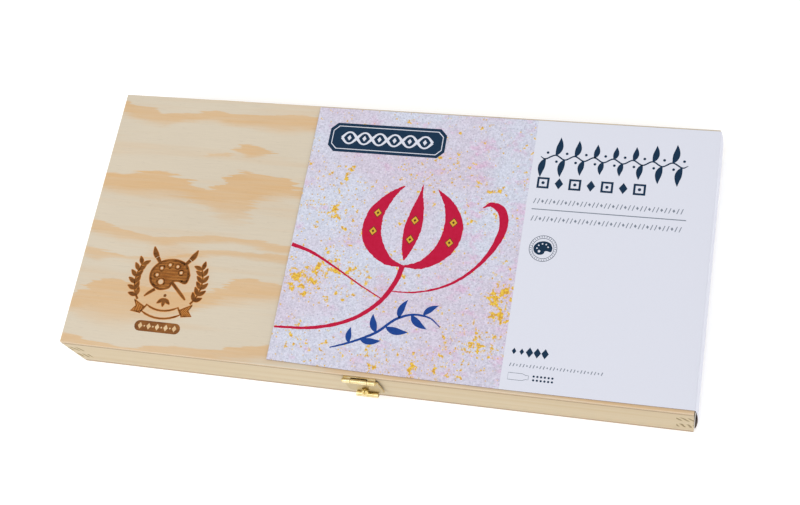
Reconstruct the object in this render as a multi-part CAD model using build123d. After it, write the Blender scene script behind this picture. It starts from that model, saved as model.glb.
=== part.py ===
from build123d import *
import math
import os

# Flat wooden case for twelve gouache tubes, in millimetres.
# +X runs to the right along the length, +Y to the back and +Z up.
# The origin is the centre of the underside, which lies at Z = 0.

# Tubes, which set the inside of the case
TUBE_COUNT = 12
TUBE_DIAMETER = 18.0
TUBE_BARREL = 28.0          # round stretch behind the shoulder
TUBE_TAPER = 70.0           # stretch that flattens towards the crimp
TUBE_SHOULDER = 3.0
CRIMP_LENGTH = 6.0
CRIMP_THICKNESS = 1.8
TUBE_GAP = 1.7              # between two crimps side by side
NOZZLE_DIAMETER = 9.0
NOZZLE_LENGTH = 9.0
CAP_DIAMETER = 15.5
CAP_LENGTH = 15.0
CAP_FLUTES = 20
CAP_FLUTE_DIAMETER = 1.0
CAP_CLEARANCE = 0.2         # cap to shoulder, and cap bore to nozzle

# Moulded tray
TRAY_SKIN = 1.0
TRAY_CLEARANCE = 0.3        # to the walls
TRAY_RIM = 1.5              # front, back and between tube and pen troughs
TRAY_END = 0.36             # beyond the first and last trough
TROUGH_CLEARANCE = 0.3
TUBE_LIFT = 9.2             # from the base panel to the underside of a tube
TRAY_ABOVE_AXIS = 1.5
PEN_TROUGH_WIDTH = 24.8

# Wooden case
WALL = 9.5
BASE_PLY = 3.0
LID_PLY = 3.0
FRAME_HEIGHT = 33.0
FINGERS = 5
EDGE_EASE = 0.4             # rounding of the sanded edges
EDGE_BAND = 0.01            # how near to a face its edges are looked for
THROUGH = 1.0               # how far a cutting shape passes the surface that it cuts

# Brass sheet, barrels and pins, shared by the hinges and the latch
LEAF = 0.8
LEAF_REACH = 8.0            # under the lid, from the face of the wall
LEAF_POCKET = 0.15          # play around a leaf in its recess
BARREL_RADIUS = 1.45
PIN_RADIUS = 0.75
RUNNING = 0.05              # radial play of a pin
KNUCKLE_GAP = 0.35
SWING_GAP = 0.3             # around a turning barrel
PIN_HEAD = 0.25             # thickness of a pin's riveted end
PIN_HEAD_OVER = 0.2         # by which it is larger all round than the pin

# Hinges on the back, with their barrels let into the lid and the wall
HINGE_SPACING = 240.0
HINGE_WIDTH = 20.0
HINGE_MIDDLE = 9.0
HINGE_LEAF_HEIGHT = 13.0
HINGE_BARREL_RADIUS = 1.2
HINGE_PIN_RADIUS = 0.6

# Latch on the front
LATCH_X = 1.0
LATCH_BARREL = 19.4
LATCH_MIDDLE = 9.6
HASP_WIDTH = 21.2
HASP_DROP = 22.6            # from the pin to the lower edge of the plate
HASP_CORNER = 1.6
ROLL_WIDTH = 13.4
ROLL_RADIUS = 1.85
ROLL_DROP = 24.0
ROLL_MOUTH = (58.0, 76.0)   # degrees between which the rolled lip is open
STUD_DROP = 17.0
BALL_RADIUS = 2.05
BALL_CLEARANCE = 0.3        # ball to the hole in the hasp
BALL_STAND_OFF = 3.4        # from the front face to the ball's centre
NECK_RADIUS = 1.2
STUD_SLIT = 0.6
STUD_ROOT = 6.0             # driven into the wall
KEEPER_WIDTH = 17.0
KEEPER_HEIGHT = 9.0
KEEPER_LEAF = 0.7           # thickness of the keeper plate
KEEPER_FLAT = 0.2           # straight stretch left between the round corners of each end

# Fasteners
SCREW_RADIUS = 0.9
SCREW_HEAD_RADIUS = 1.7
SCREW_HEAD = 0.8
SCREW_RIM = 0.24            # straight rim under the rounded head
SCREW_SLOT = 0.6
SCREW_LENGTH = 7.0
LID_SCREW_RADIUS = 0.8
LID_SCREW_HEAD_RADIUS = 1.5
LID_SCREW_HEAD = 0.4
LID_SCREW_BITE = 2.2        # into the lid panel
SCREW_PITCH = 12.0          # between the two screws of a leaf
NAIL_RADIUS = 0.7
NAIL_HEAD_RADIUS = 1.2
NAIL_HEAD = 0.3
NAIL_LENGTH = 6.0
NAIL_PITCH = 12.0
FASTENER_FIT = 0.02         # radial play of a screw or nail in its hole

# Card jacket over the right part of the lid
CARD = 0.45
CARD_LENGTH = 245.75        # of lid that it covers
CARD_BACK_INSET = 1.25
CARD_FRONT_INSET = 2.0
CARD_CLEARANCE = 0.3
CARD_BULGE = 1.3            # of the end flap, at half its height
CARD_BEND = 1.5
CARD_FOOT = 1.5             # above the underside of the case

# What follows from the sizes above
TUBE_RADIUS = TUBE_DIAMETER / 2
CRIMP_WIDTH = math.pi * TUBE_RADIUS
TUBE_PITCH = CRIMP_WIDTH + TUBE_GAP
TUBE_LENGTH = TUBE_SHOULDER + TUBE_BARREL + TUBE_TAPER + CRIMP_LENGTH
TRAY_LENGTH = TUBE_COUNT * TUBE_PITCH + 2 * TRAY_END
TUBE_BAY = CAP_LENGTH + CAP_CLEARANCE + TUBE_LENGTH + 2 * TROUGH_CLEARANCE
TRAY_DEPTH = 3 * TRAY_RIM + TUBE_BAY + PEN_TROUGH_WIDTH
BOX_LENGTH = TRAY_LENGTH + 2 * (TRAY_CLEARANCE + WALL)
BOX_DEPTH = TRAY_DEPTH + 2 * (TRAY_CLEARANCE + WALL)
SEAM = BASE_PLY + FRAME_HEIGHT
BOX_HEIGHT = SEAM + LID_PLY
FINGER = FRAME_HEIGHT / FINGERS
TUBE_AXIS = BASE_PLY + TUBE_LIFT + TUBE_RADIUS
TRAY_TOP = TUBE_AXIS + TRAY_ABOVE_AXIS
CRIMP_BACK = TRAY_DEPTH / 2 - TRAY_RIM - TROUGH_CLEARANCE
SHOULDER = CRIMP_BACK - CRIMP_LENGTH - TUBE_TAPER - TUBE_BARREL
CAP_BACK = SHOULDER - TUBE_SHOULDER - CAP_CLEARANCE
PIN_HEIGHT = SEAM - LEAF
HINGE_STAND_OFF = (LEAF + SWING_GAP) / 2
HINGE_GROOVE = HINGE_WIDTH + 2 * (KNUCKLE_GAP + PIN_HEAD + SWING_GAP)
LATCH_STAND_OFF = KEEPER_LEAF + SWING_GAP + BARREL_RADIUS
HINGE_Y = BOX_DEPTH / 2 + HINGE_STAND_OFF
LATCH_Y = -BOX_DEPTH / 2 - LATCH_STAND_OFF
HINGE_X = (-HINGE_SPACING / 2, HINGE_SPACING / 2)
SIDES = ("left", "right")

LOW = (Align.CENTER, Align.CENTER, Align.MIN)
TO_BACK = (Align.CENTER, Align.MIN, Align.MIN)


def block(x0, x1, y0, y1, z0, z1):
    """Box between two corners."""
    corner = (Align.MIN, Align.MIN, Align.MIN)
    return Pos(x0, y0, z0) * Box(x1 - x0, y1 - y0, z1 - z0, align=corner)


def rod_x(radius, length):
    """Rod along X, centred on the origin."""
    return Rot(0, 90, 0) * Cylinder(radius, length)


def rod_y(radius, y0, y1):
    """Rod along Y between two places."""
    rod = Rot(-90, 0, 0) * Cylinder(radius, y1 - y0, align=LOW)
    return Pos(0, y0, 0) * rod


def rod_z(radius, z0, z1):
    """Rod along Z between two heights."""
    return Pos(0, 0, z0) * Cylinder(radius, z1 - z0, align=LOW)


def pair(shape, pitch):
    """The shape on both sides, half a pitch to the left and to the right."""
    return [Pos(side * pitch / 2, 0, 0) * shape for side in (-1, 1)]


# Wooden case

def screw_spots():
    """Places of the screws that hold the hinge leaves to the back wall."""
    height = PIN_HEIGHT - HINGE_LEAF_HEIGHT / 2 - HINGE_BARREL_RADIUS / 2
    spots = []
    for x in HINGE_X:
        for side in (-1, 1):
            spots.append((x + side * SCREW_PITCH / 2, height))
    return spots


def base_panel():
    panel = block(-BOX_LENGTH / 2, BOX_LENGTH / 2, -BOX_DEPTH / 2, BOX_DEPTH / 2, 0, BASE_PLY)
    return fillet(panel.edges(), EDGE_EASE)


def ease_long_edges(wall, face_y):
    """Round the upper and lower outer edges of a long wall."""
    edges = wall.edges().filter_by(Axis.X)
    outer = edges.filter_by_position(Axis.Y, face_y - EDGE_BAND, face_y + EDGE_BAND)
    ends = [edge for edge in outer if edge.length > BOX_LENGTH / 4]
    return fillet(ends, EDGE_EASE)


def long_wall(side):
    """Front wall (side -1) or back wall (side 1), with its fingers at both ends."""
    outer = side * BOX_DEPTH / 2
    inner = outer - side * WALL
    y0 = min(outer, inner)
    y1 = max(outer, inner)
    wall = block(-BOX_LENGTH / 2, BOX_LENGTH / 2, y0, y1, BASE_PLY, SEAM)
    for row in range(1, FINGERS, 2):
        z = BASE_PLY + row * FINGER
        for end in (-1, 1):
            x = end * (BOX_LENGTH / 2 - WALL / 2)
            wall -= block(x - WALL / 2, x + WALL / 2, y0, y1, z, z + FINGER)
    return ease_long_edges(wall, outer)


def leaf_recess(x, width, side):
    """Recess for a leaf in the top of a long wall."""
    outer = side * BOX_DEPTH / 2
    inner = outer - side * (LEAF_REACH + LEAF_POCKET)
    past = outer + side * WALL
    y0 = min(inner, past)
    y1 = max(inner, past)
    half = width / 2 + LEAF_POCKET
    return block(x - half, x + half, y0, y1, SEAM - LEAF - LEAF_POCKET, SEAM + WALL)


def hinge_grooves():
    """Round grooves that both hinge barrels lie in, cut along the edge of the wall and the lid."""
    groove = rod_x(HINGE_BARREL_RADIUS + SWING_GAP, HINGE_GROOVE)
    return [Pos(x, HINGE_Y, PIN_HEIGHT) * groove for x in HINGE_X]


def front_wall():
    wall = long_wall(-1) - leaf_recess(LATCH_X, LATCH_BARREL, -1)
    face = -BOX_DEPTH / 2
    height = PIN_HEIGHT - STUD_DROP
    root = rod_y(PIN_RADIUS + FASTENER_FIT, face, face + STUD_ROOT)
    wall -= Pos(LATCH_X, 0, height) * root
    nail = rod_y(NAIL_RADIUS + FASTENER_FIT, face, face + NAIL_LENGTH)
    for hole in pair(nail, NAIL_PITCH):
        wall -= Pos(LATCH_X, 0, height) * hole
    return wall


def back_wall():
    wall = long_wall(1)
    for x in HINGE_X:
        wall -= leaf_recess(x, HINGE_WIDTH, 1)
    face = BOX_DEPTH / 2
    hole = rod_y(SCREW_RADIUS + FASTENER_FIT, face - SCREW_LENGTH, face)
    for x, z in screw_spots():
        wall -= Pos(x, 0, z) * hole
    return wall - hinge_grooves()


def end_wall(side):
    """Left wall (side -1) or right wall (side 1), with its fingers at both ends."""
    outer = side * BOX_LENGTH / 2
    inner = outer - side * WALL
    x0 = min(outer, inner)
    x1 = max(outer, inner)
    wall = block(x0, x1, -BOX_DEPTH / 2, BOX_DEPTH / 2, BASE_PLY, SEAM)
    for row in range(0, FINGERS, 2):
        z = BASE_PLY + row * FINGER
        for end in (-1, 1):
            y = end * (BOX_DEPTH / 2 - WALL / 2)
            wall -= block(x0, x1, y - WALL / 2, y + WALL / 2, z, z + FINGER)
    return wall


def lid_panel():
    panel = block(-BOX_LENGTH / 2, BOX_LENGTH / 2, -BOX_DEPTH / 2, BOX_DEPTH / 2, SEAM, BOX_HEIGHT)
    panel = fillet(panel.edges(), EDGE_EASE)
    hole = rod_z(LID_SCREW_RADIUS + FASTENER_FIT, SEAM, SEAM + LID_SCREW_BITE)
    for x, y in lid_screw_spots():
        panel -= Pos(x, y, 0) * hole
    return panel - hinge_grooves()


# Tubes and tray

def tube_form(grow):
    """Tube body lying along Y with its shoulder at Y = 0, larger all round by grow."""
    radius = TUBE_RADIUS + grow
    front = -TUBE_SHOULDER - grow
    taper_start = TUBE_BARREL
    taper_end = TUBE_BARREL + TUBE_TAPER
    back = taper_end + CRIMP_LENGTH + grow
    barrel = rod_y(radius, front if grow else 0, taper_start)
    start = Plane(origin=(0, taper_start, 0), x_dir=(1, 0, 0), z_dir=(0, 1, 0)) * Circle(radius)
    flat = Ellipse(CRIMP_WIDTH / 2 + grow, CRIMP_THICKNESS / 2 + grow)
    end = Plane(origin=(0, taper_end, 0), x_dir=(1, 0, 0), z_dir=(0, 1, 0)) * flat
    half_width = CRIMP_WIDTH / 2 + grow
    half_thick = CRIMP_THICKNESS / 2 + grow
    crimp = block(-half_width, half_width, taper_end, back, -half_thick, half_thick)
    return barrel + loft([start, end]) + crimp


def tube():
    """One collapsible tube: body, cone shoulder and nozzle."""
    cone = Rot(90, 0, 0) * Cone(TUBE_RADIUS, NOZZLE_DIAMETER / 2, TUBE_SHOULDER, align=LOW)
    nozzle = rod_y(NOZZLE_DIAMETER / 2, -TUBE_SHOULDER - NOZZLE_LENGTH, 0)
    return tube_form(0) + cone + nozzle


def cap():
    """Screw cap with fluted sides, its mouth at Y = 0 and its top towards -Y."""
    body = rod_y(CAP_DIAMETER / 2, -CAP_LENGTH, 0)
    rim = body.edges().filter_by(GeomType.CIRCLE).sort_by(Axis.Y)[0]
    body = fillet(rim, CAP_FLUTE_DIAMETER)
    bore = rod_y(NOZZLE_DIAMETER / 2 + CAP_CLEARANCE, -NOZZLE_LENGTH - CAP_CLEARANCE, 0)
    flute = rod_y(CAP_FLUTE_DIAMETER / 2, -CAP_LENGTH, -CAP_FLUTE_DIAMETER)
    for turn in range(CAP_FLUTES):
        angle = 360 * turn / CAP_FLUTES
        body -= Rot(0, angle, 0) * Pos(CAP_DIAMETER / 2, 0, 0) * flute
    return body - bore


def tube_places():
    """X of each tube, from left to right."""
    first = -(TUBE_COUNT - 1) * TUBE_PITCH / 2
    return [first + index * TUBE_PITCH for index in range(TUBE_COUNT)]


def trough(grow):
    """Room for one tube and its cap, open upwards."""
    half = TUBE_RADIUS + grow
    wide = CRIMP_WIDTH / 2 + grow
    front = -TUBE_SHOULDER - CAP_CLEARANCE - CAP_LENGTH - grow
    end = TUBE_BARREL + TUBE_TAPER
    back = end + CRIMP_LENGTH + grow
    room = tube_form(grow) + rod_y(half, front, 0)
    outline = [(-half, front), (half, front), (half, TUBE_BARREL), (wide, end), (wide, back)]
    outline += [(-wide, back), (-wide, end), (-half, TUBE_BARREL)]
    footprint = make_face(Polyline(*outline, close=True))
    return room + extrude(footprint, amount=TUBE_DIAMETER)


def tray_form(skin):
    """Block less its troughs. With a skin it is the hollow under the moulded sheet."""
    half_x = TRAY_LENGTH / 2 - skin
    half_y = TRAY_DEPTH / 2 - skin
    form = block(-half_x, half_x, -half_y, half_y, BASE_PLY - skin, TRAY_TOP - skin)
    one = trough(TROUGH_CLEARANCE + skin)
    for x in tube_places():
        form -= Pos(x, SHOULDER, TUBE_AXIS) * one
    pen_front = -TRAY_DEPTH / 2 + TRAY_RIM
    pen_back = pen_front + PEN_TROUGH_WIDTH
    pen_end = TRAY_LENGTH / 2 - TRAY_RIM
    floor = BASE_PLY + TRAY_SKIN
    form -= block(
        -pen_end - skin,
        pen_end + skin,
        pen_front - skin,
        pen_back + skin,
        floor - skin,
        TRAY_TOP + THROUGH,
    )
    return form


def tray():
    return tray_form(0) - tray_form(TRAY_SKIN)


# Brass fittings, drawn with the pin along X through the origin and the wall towards +Y

def barrel(radius, length, middle, outer):
    """Knuckles of one leaf: the two outer ones, or the middle one."""
    body = rod_x(radius, length if outer else middle)
    if outer:
        body -= rod_x(2 * radius, middle + 2 * KNUCKLE_GAP)
    return body


def lid_leaf(length, middle, stand_off, radius, pin_radius):
    """Leaf let in under the lid, with the two outer knuckles."""
    reach = stand_off + LEAF_REACH
    plate = Box(length, reach, LEAF, align=TO_BACK)
    notch = 2 * (radius + KNUCKLE_GAP)
    plate -= Box(middle + 2 * KNUCKLE_GAP, notch, notch)
    leaf = plate + barrel(radius, length, middle, True)
    leaf -= rod_x(pin_radius + RUNNING, length + THROUGH)
    hole = rod_z(LID_SCREW_RADIUS + FASTENER_FIT, -THROUGH, LEAF + THROUGH)
    hole += rod_z(LID_SCREW_HEAD_RADIUS + FASTENER_FIT, -THROUGH, LID_SCREW_HEAD)
    for spot in pair(hole, SCREW_PITCH):
        leaf -= Pos(0, reach - LEAF_REACH / 2, 0) * spot
    return leaf


def lid_screw():
    """Short screw driven up into the lid, with its head at Z = 0."""
    head = rod_z(LID_SCREW_HEAD_RADIUS, 0, LID_SCREW_HEAD)
    return head + rod_z(LID_SCREW_RADIUS, LID_SCREW_HEAD, LEAF + LID_SCREW_BITE)


def lid_screw_spots():
    """Places of the screws in the lid: two for the latch, then two for each hinge."""
    front = -BOX_DEPTH / 2 + LEAF_REACH / 2
    back = BOX_DEPTH / 2 - LEAF_REACH / 2
    spots = []
    for x, y in ((LATCH_X, front), (HINGE_X[0], back), (HINGE_X[1], back)):
        for side in (-1, 1):
            spots.append((x + side * SCREW_PITCH / 2, y))
    return spots


def pin(radius, length):
    """Pin with small riveted ends just outside the barrel."""
    shank = rod_x(radius, length + 2 * KNUCKLE_GAP + PIN_HEAD)
    ends = []
    for side in (-1, 1):
        place = side * (length / 2 + KNUCKLE_GAP + PIN_HEAD / 2)
        ends.append(Pos(place, 0, 0) * rod_x(radius + PIN_HEAD_OVER, PIN_HEAD))
    return shank + ends


def hinge_case_leaf():
    """Leaf on the back wall, with the middle knuckle."""
    face = HINGE_STAND_OFF
    bottom = -HINGE_LEAF_HEIGHT - HINGE_BARREL_RADIUS
    plate = block(-HINGE_WIDTH / 2, HINGE_WIDTH / 2, face - LEAF, face, bottom, 0)
    lower = plate.edges().filter_by(Axis.Y).group_by(Axis.Z)[0]
    plate = fillet(lower, HASP_CORNER)
    top = -HINGE_BARREL_RADIUS - SWING_GAP
    for side in (-1, 1):
        x = side * (HINGE_MIDDLE + HINGE_WIDTH) / 2
        plate -= block(x - HINGE_WIDTH / 2, x + HINGE_WIDTH / 2, -THROUGH, THROUGH, top, LEAF)
    leaf = plate + barrel(HINGE_BARREL_RADIUS, HINGE_WIDTH, HINGE_MIDDLE, False)
    leaf -= rod_x(HINGE_PIN_RADIUS, HINGE_WIDTH + THROUGH)
    return leaf


def hinge_lid_leaf():
    """Leaf of a hinge under the lid, with the outer knuckles."""
    return lid_leaf(HINGE_WIDTH, HINGE_MIDDLE, HINGE_STAND_OFF, HINGE_BARREL_RADIUS, HINGE_PIN_RADIUS)


def placed_hinge(shape, x):
    """Turn a fitting to the back wall."""
    return Pos(x, HINGE_Y, PIN_HEIGHT) * Rot(0, 0, 180) * shape


def placed_latch(shape):
    return Pos(LATCH_X, LATCH_Y, PIN_HEIGHT) * shape


def latch_leaf():
    """Leaf of the latch under the lid, with the outer knuckles."""
    return placed_latch(lid_leaf(LATCH_BARREL, LATCH_MIDDLE, LATCH_STAND_OFF, BARREL_RADIUS, PIN_RADIUS))


def case_leaf_at(x):
    """Hinge leaf in place, with its screw holes."""
    leaf = placed_hinge(hinge_case_leaf(), x)
    hole = rod_y(SCREW_RADIUS + FASTENER_FIT, BOX_DEPTH / 2 - THROUGH, BOX_DEPTH / 2 + 2 * LEAF)
    for spot_x, z in screw_spots():
        leaf -= Pos(spot_x, 0, z) * hole
    return leaf


def case_screws():
    """Round-headed screws of both hinge leaves."""
    face = BOX_DEPTH / 2 + LEAF
    shank = rod_y(SCREW_RADIUS, BOX_DEPTH / 2 - SCREW_LENGTH, face)
    dome = Pos(0, face, 0) * Rot(-90, 0, 0) * Cylinder(SCREW_HEAD_RADIUS, SCREW_HEAD, align=LOW)
    rim = dome.edges().filter_by(GeomType.CIRCLE).sort_by(Axis.Y)[-1]
    dome = fillet(rim, SCREW_HEAD - SCREW_RIM)
    slot = block(-SCREW_HEAD_RADIUS, SCREW_HEAD_RADIUS, face + SCREW_HEAD / 2, face + 2 * SCREW_HEAD,
                 -SCREW_SLOT / 2, SCREW_SLOT / 2)
    screw = shank + dome - slot
    return [Pos(x, 0, z) * screw for x, z in screw_spots()]


def hasp():
    """Swinging plate with its knuckle, the hole for the ball and the rolled lip."""
    back = BARREL_RADIUS
    front = back - LEAF
    shoulder = -BARREL_RADIUS - SWING_GAP
    plate = block(-HASP_WIDTH / 2, HASP_WIDTH / 2, front, back, -HASP_DROP, shoulder)
    corners = plate.edges().filter_by(Axis.Y)
    plate = fillet(corners, HASP_CORNER)
    tongue = block(-ROLL_WIDTH / 2, ROLL_WIDTH / 2, front, back, -ROLL_DROP, -HASP_DROP + HASP_CORNER)
    tab = block(-LATCH_MIDDLE / 2, LATCH_MIDDLE / 2, front, back, shoulder - HASP_CORNER, 0)
    lip = rod_x(ROLL_RADIUS, ROLL_WIDTH) - rod_x(ROLL_RADIUS - LEAF, ROLL_WIDTH + THROUGH)
    mouth = [(0, 0)]
    for angle in ROLL_MOUTH:
        turn = math.radians(angle)
        mouth.append((2 * ROLL_RADIUS * math.cos(turn), 2 * ROLL_RADIUS * math.sin(turn)))
    wedge = make_face(Plane.YZ * Polyline(*mouth, close=True))
    lip -= extrude(wedge, amount=ROLL_WIDTH, both=True)
    lip = Pos(0, back - ROLL_RADIUS, -ROLL_DROP) * lip
    body = plate + tongue + tab + lip + barrel(BARREL_RADIUS, LATCH_BARREL, LATCH_MIDDLE, False)
    body -= rod_x(PIN_RADIUS + RUNNING, LATCH_BARREL)
    hole = rod_y(BALL_RADIUS + BALL_CLEARANCE, front - THROUGH, back + THROUGH)
    return body - Pos(0, 0, -STUD_DROP) * hole


def keeper_spot():
    """Centre of the keeper on the front face."""
    return Pos(LATCH_X, -BOX_DEPTH / 2, PIN_HEIGHT - STUD_DROP)


def keeper_plate():
    plate = Box(KEEPER_WIDTH, KEEPER_LEAF, KEEPER_HEIGHT, align=(Align.CENTER, Align.MAX, Align.CENTER))
    plate = fillet(plate.edges().filter_by(Axis.Y), (KEEPER_HEIGHT - KEEPER_FLAT) / 2)
    plate -= rod_y(PIN_RADIUS + FASTENER_FIT, -THROUGH, THROUGH)
    hole = rod_y(NAIL_RADIUS + FASTENER_FIT, -THROUGH, THROUGH)
    hole += rod_y(NAIL_HEAD_RADIUS + FASTENER_FIT, -THROUGH, -KEEPER_LEAF + NAIL_HEAD)
    for spot in pair(hole, NAIL_PITCH):
        plate -= spot
    return keeper_spot() * plate


def keeper_stud():
    """Split ball on a neck, riveted through the keeper into the wall."""
    stud = rod_y(PIN_RADIUS, -KEEPER_LEAF, STUD_ROOT)
    stud += rod_y(NECK_RADIUS, -BALL_STAND_OFF, -KEEPER_LEAF)
    stud += Pos(0, -BALL_STAND_OFF, 0) * Sphere(BALL_RADIUS)
    slit_back = -BALL_STAND_OFF + BALL_RADIUS / 2
    slit = block(-STUD_SLIT / 2, STUD_SLIT / 2, -2 * BALL_STAND_OFF, slit_back, -BALL_RADIUS, BALL_RADIUS)
    return keeper_spot() * (stud - slit)


def keeper_nails():
    nail = rod_y(NAIL_RADIUS, -KEEPER_LEAF, NAIL_LENGTH)
    nail += rod_y(NAIL_HEAD_RADIUS, -KEEPER_LEAF, -KEEPER_LEAF + NAIL_HEAD)
    return [keeper_spot() * one for one in pair(nail, NAIL_PITCH)]


# Card jacket

def quarter(centre, radius):
    """Rounded corner between the panel and the flap."""
    x, z = centre
    half = math.sqrt(0.5) * radius
    return ThreePointArc((x, z + radius), (x + half, z + half), (x + radius, z))


def card_jacket():
    """Printed card: a flat panel on the lid and an end flap that bulges away from the case."""
    left = BOX_LENGTH / 2 - CARD_LENGTH
    under = BOX_HEIGHT + CARD_CLEARANCE
    top = under + CARD
    inner = BOX_LENGTH / 2 + CARD_CLEARANCE
    outer = inner + CARD
    middle = (top - CARD_BEND + CARD_FOOT) / 2
    centre = (outer - CARD_BEND, top - CARD_BEND)
    edges = [Line((left, under), (left, top)), Line((left, top), (centre[0], top))]
    edges.append(quarter(centre, CARD_BEND))
    edges.append(ThreePointArc((outer, centre[1]), (outer + CARD_BULGE, middle), (outer, CARD_FOOT)))
    edges.append(Line((outer, CARD_FOOT), (inner, CARD_FOOT)))
    edges.append(ThreePointArc((inner, CARD_FOOT), (inner + CARD_BULGE, middle), (inner, centre[1])))
    edges.append(quarter(centre, CARD_BEND - CARD))
    edges.append(Line((centre[0], under), (left, under)))
    section = make_face(Plane.XZ * Wire(edges))
    depth = BOX_DEPTH - CARD_BACK_INSET - CARD_FRONT_INSET
    sheet = extrude(section, amount=depth, dir=(0, -1, 0))
    return Pos(0, BOX_DEPTH / 2 - CARD_BACK_INSET, 0) * sheet


# Nodes

def single_nodes():
    """Every sub-part that is there once, by name."""
    return {
        "base_panel": base_panel(),
        "front_wall": front_wall(),
        "back_wall": back_wall(),
        "left_wall": end_wall(-1),
        "right_wall": end_wall(1),
        "lid_panel": lid_panel(),
        "tray": tray(),
        "latch_leaf": latch_leaf(),
        "latch_pin": placed_latch(pin(PIN_RADIUS, LATCH_BARREL)),
        "hasp": placed_latch(hasp()),
        "keeper_plate": keeper_plate(),
        "keeper_stud": keeper_stud(),
        "keeper_nails": keeper_nails(),
        "hinge_case_screws": case_screws(),
        "lid_screws": [Pos(x, y, PIN_HEIGHT) * lid_screw() for x, y in lid_screw_spots()],
        "card_jacket": card_jacket(),
    }


def hinge_nodes():
    """Two leaves and a pin for the left hinge and the right hinge."""
    nodes = {}
    for side, x in zip(SIDES, HINGE_X):
        nodes[f"hinge_case_leaf_{side}"] = case_leaf_at(x)
        nodes[f"hinge_lid_leaf_{side}"] = placed_hinge(hinge_lid_leaf(), x)
        nodes[f"hinge_pin_{side}"] = placed_hinge(pin(HINGE_PIN_RADIUS, HINGE_WIDTH), x)
    return nodes


def tube_nodes():
    """Twelve tubes with their caps."""
    one_tube = tube()
    one_cap = cap()
    nodes = {}
    for number, x in enumerate(tube_places(), 1):
        nodes[f"tube_{number:02d}"] = Pos(x, SHOULDER, TUBE_AXIS) * one_tube
        nodes[f"cap_{number:02d}"] = Pos(x, CAP_BACK, TUBE_AXIS) * one_cap
    return nodes


def save(name, shape):
    """Write one node; a list of solids becomes one group."""
    if isinstance(shape, list):
        shape = Compound(children=shape)
    export_step(shape, f"parts/{name}.step")


os.makedirs("parts", exist_ok=True)
print(f"case {BOX_LENGTH:.2f} x {BOX_DEPTH:.2f} x {BOX_HEIGHT:.2f} mm, pitch {TUBE_PITCH:.3f} mm")
print(f"latch pin at Y {LATCH_Y:.3f} Z {PIN_HEIGHT:.3f}, hinge pins at Y {HINGE_Y:.3f}")
print(f"tube axis at Z {TUBE_AXIS:.3f}, cap mouth at Y {CAP_BACK:.3f}")
for nodes in (single_nodes(), hinge_nodes(), tube_nodes()):
    for name, shape in nodes.items():
        save(name, shape)
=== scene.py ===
import math

import bpy
from mathutils import Matrix, Vector, noise


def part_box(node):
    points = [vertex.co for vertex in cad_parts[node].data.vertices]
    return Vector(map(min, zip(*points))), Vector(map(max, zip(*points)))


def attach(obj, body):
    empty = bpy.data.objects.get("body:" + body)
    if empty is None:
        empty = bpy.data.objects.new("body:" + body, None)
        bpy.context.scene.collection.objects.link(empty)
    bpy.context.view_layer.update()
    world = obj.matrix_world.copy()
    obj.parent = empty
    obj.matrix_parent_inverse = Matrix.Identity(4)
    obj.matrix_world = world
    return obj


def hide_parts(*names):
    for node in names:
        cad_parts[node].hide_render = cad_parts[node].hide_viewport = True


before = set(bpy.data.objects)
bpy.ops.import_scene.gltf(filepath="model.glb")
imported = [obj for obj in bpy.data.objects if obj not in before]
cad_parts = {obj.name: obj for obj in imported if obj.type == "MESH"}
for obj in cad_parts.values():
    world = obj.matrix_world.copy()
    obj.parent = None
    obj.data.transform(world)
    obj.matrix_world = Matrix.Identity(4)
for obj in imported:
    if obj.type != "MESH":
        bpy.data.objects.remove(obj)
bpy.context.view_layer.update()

# Lengths are in millimetres, and turned to metres where a mesh or a bump is made. The studio is in metres.
MM = 0.001
LID_LOW, LID_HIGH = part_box("lid_panel")
BASE_LOW, BASE_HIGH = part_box("base_panel")
CARD_LOW, CARD_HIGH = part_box("card_jacket")
LID_TOP = LID_HIGH[2] / MM
HALF_LENGTH = LID_HIGH[0] / MM
SEAM = LID_LOW[2] / MM
BASE_TOP = BASE_HIGH[2] / MM


# Small tools

def linear(hex_colour):
    """Turn an sRGB hex colour to linear, with full alpha."""
    parts = []
    for start in (0, 2, 4):
        value = int(hex_colour[start:start + 2], 16) / 255
        parts.append(value / 12.92 if value <= 0.04045 else ((value + 0.055) / 1.055) ** 2.4)
    return (*parts, 1.0)


def add_node(tree, kind, *values, **named):
    """Add a node and give back its first output. Names in small letters are settings, the rest inputs."""
    made = tree.nodes.new("ShaderNode" + kind)
    for key in [key for key in named if key.islower()]:
        setattr(made, key, named.pop(key))
    for key, value in [*enumerate(values), *named.items()]:
        if isinstance(value, bpy.types.NodeSocket):
            tree.links.new(value, made.inputs[key])
        else:
            made.inputs[key].default_value = value
    return made.outputs[0]


class Finish:
    """A finish being mixed.

    Place and spot are millimetres on the object at rest, and facing is the surface's direction.
    """

    def __init__(self, name, **values):
        self.material = bpy.data.materials.new(name)
        self.material.use_nodes = True
        self.tree = self.material.node_tree
        self.shader = self.tree.nodes["Principled BSDF"]
        here = self.put("TexCoord").node
        self.place = self.put("VectorMath", here.outputs["Object"], operation="SCALE", Scale=1 / MM)
        self.spot = self.put("SeparateXYZ", self.place).node.outputs
        self.facing = self.put("SeparateXYZ", here.outputs["Normal"]).node.outputs
        self.give(**values)

    def put(self, kind, *values, **named):
        return add_node(self.tree, kind, *values, **named)

    def steps_of(self, *size):
        """Place counted in steps of a size in millimetres: one for all ways, or one for each."""
        return self.put("VectorMath", self.place, size if len(size) > 1 else size * 3, operation="DIVIDE")

    def give(self, **values):
        """Set or link the shader's own inputs."""
        for key, value in values.items():
            socket = self.shader.inputs[key.replace("_", " ")]
            if isinstance(value, bpy.types.NodeSocket):
                self.tree.links.new(value, socket)
            else:
                socket.default_value = value
        return self.material


# Wood

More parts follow.
